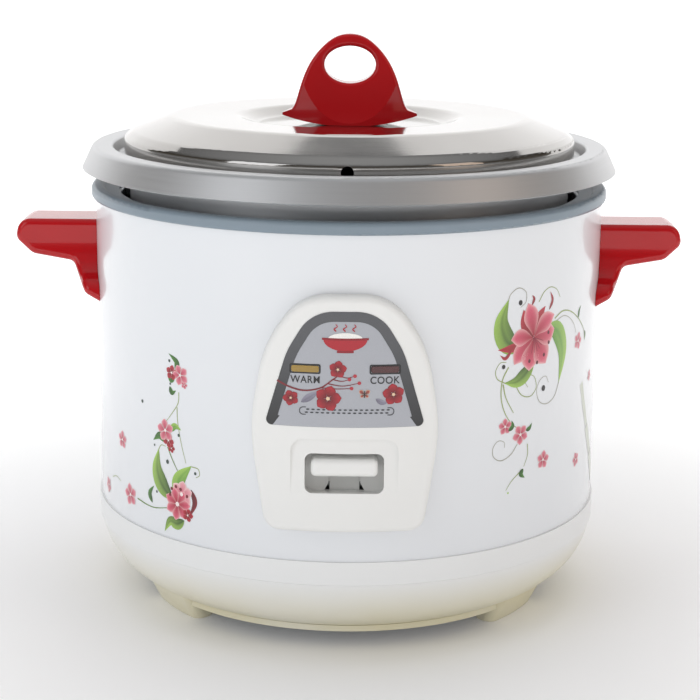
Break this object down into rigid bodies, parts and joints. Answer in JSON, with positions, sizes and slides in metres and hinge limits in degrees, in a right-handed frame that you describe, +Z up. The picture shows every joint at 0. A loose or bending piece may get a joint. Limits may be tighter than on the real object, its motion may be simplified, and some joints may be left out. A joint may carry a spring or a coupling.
{
  "type": "rice cooker",
  "caption": "Drum rice cooker with lift-off domed lid and arched knob, lift-out pot with a wide rim, side handles, bulging control panel with a push-down switch lever, and feet.",
  "frame": {"origin": "on the floor under the drum's axis, midway between the handles and midway from the control panel's face to the inlet's face", "axes": "+Z up, -Y the front with the control panel, +X the user's right-hand side, along the line of the two handles"},
  "size_m": [0.3426, 0.2761, 0.2887],
  "materials": {
    "white_enamel": "gloss enamel",
    "collar_paint": "semi-gloss",
    "white_plastic": "gloss moulded",
    "panel_plastic": "satin moulded",
    "switch_plastic": "satin moulded",
    "red_plastic": "high gloss moulded",
    "label_print": "printed foil",
    "warm_lens": "translucent amber",
    "cook_lens": "translucent dark red",
    "neon_glass": "clear",
    "pot_aluminium": "fine satin",
    "lid_steel": "mirror polished stainless",
    "cast_aluminium": "cast and faced",
    "bare_steel": "zinc plated",
    "spring_steel": "bright wire",
    "heater_sheath": "heat-darkened",
    "ferrite": "matt grey ferrite",
    "steatite": "unglazed",
    "black_plastic": "moulded",
    "holder_plastic": "moulded",
    "brass": "bright",
    "lead_red": "silicone sleeve",
    "lead_blue": "silicone sleeve",
    "lead_green": "silicone sleeve",
    "seal_rubber": "silicone"
  },
  "bodies": {
    "cooker_body": {"base_housing": "white_plastic", "base_screws": "bare_steel", "bottom_cover": "bare_steel", "bracket_rivets": "bare_steel", "cook_lens": "cook_lens", "earth_lead": "lead_green", "earth_screw": "brass", "element_terminals": "bare_steel", "foot_front_left": "white_plastic", "foot_front_right": "white_plastic", "foot_rear_left": "white_plastic", "foot_rear_right": "white_plastic", "fuse_clip": "bare_steel", "handle_screws": "bare_steel", "heat_shield": "bare_steel", "heater_plate": "cast_aluminium", "heater_spacers": "bare_steel", "heating_element": "heater_sheath", "inlet_pins": "brass", "inlet_screws": "bare_steel", "keep_warm_thermostat": "steatite", "lamp_holder": "holder_plastic", "left_handle": "red_plastic", "liner_screws": "bare_steel", "live_lead": "lead_red", "microswitch": "black_plastic", "microswitch_screws": "bare_steel", "neutral_lead": "lead_blue", "outer_shell": "white_enamel", "panel_housing": "panel_plastic", "panel_label": "label_print", "panel_screws": "bare_steel", "pilot_lamps": "neon_glass", "pivot_pin": "bare_steel", "power_inlet": "black_plastic", "right_handle": "red_plastic", "switch_bracket": "bare_steel", "terminal_block": "steatite", "terminal_insulators": "steatite", "terminal_screws": "brass", "thermal_fuse": "bare_steel", "thermostat_body": "bare_steel", "tie_posts": "bare_steel", "top_collar": "collar_paint", "warm_lens": "warm_lens"},
    "lid": {"lid_shell": "lid_steel", "lid_knob": "red_plastic", "knob_washer": "seal_rubber", "knob_screw": "bare_steel"},
    "pot": {"inner_pot": "pot_aluminium"},
    "sensor_cap": {"thermostat_cap": "cast_aluminium", "ferrite_disc": "ferrite", "cap_spring": "spring_steel"},
    "magnet_rod": {"magnet_holder": "bare_steel", "magnet": "ferrite", "rod_nut": "brass", "magnet_spring": "spring_steel"},
    "cook_lever": {"cook_lever": "bare_steel"},
    "switch_knob": {"switch_knob": "switch_plastic"},
    "contact_plunger": {"microswitch_plunger": "holder_plastic"}
  },
  "joints": [
    {"name": "pot_lift", "type": "slide", "parent": "cooker_body", "child": "pot", "axis": [0, 0, 1], "range_m": [0, 0.16]},
    {"name": "lid_lift", "type": "slide", "parent": "pot", "child": "lid", "axis": [0, 0, 1], "range_m": [0, 0.12]},
    {"name": "switch_press", "type": "slide", "parent": "cooker_body", "child": "switch_knob", "axis": [0, 0, 1], "range_m": [-0.0065, 0], "stiffness_N_per_m": 150, "springref_m": 0.003},
    {"name": "lever_rock", "type": "hinge", "parent": "cooker_body", "child": "cook_lever", "pos_m": [0, -0.055, 0.04], "axis": [1, 0, 0], "range_deg": [0, 5.81]},
    {"name": "rod_rise", "type": "slide", "parent": "cooker_body", "child": "magnet_rod", "axis": [0, 0, 1], "range_m": [0, 0.00558], "deforming": ["magnet_spring"]},
    {"name": "plunger_press", "type": "slide", "parent": "cooker_body", "child": "contact_plunger", "axis": [0, 0, 1], "range_m": [-0.00305, 0]},
    {"name": "cap_rise", "type": "slide", "parent": "cooker_body", "child": "sensor_cap", "axis": [0, 0, 1], "range_m": [0, 0.004], "deforming": ["cap_spring"]}
  ],
  "couplings": [
    {"joint": "lever_rock", "follows": "switch_press", "rad_per_m": -15.576},
    {"joint": "rod_rise", "follows": "switch_press", "ratio": -0.8567},
    {"joint": "plunger_press", "follows": "switch_press", "ratio": 0.46729},
    {"joint": "cap_rise", "follows": "pot_lift", "ratio": 0.025}
  ]
}
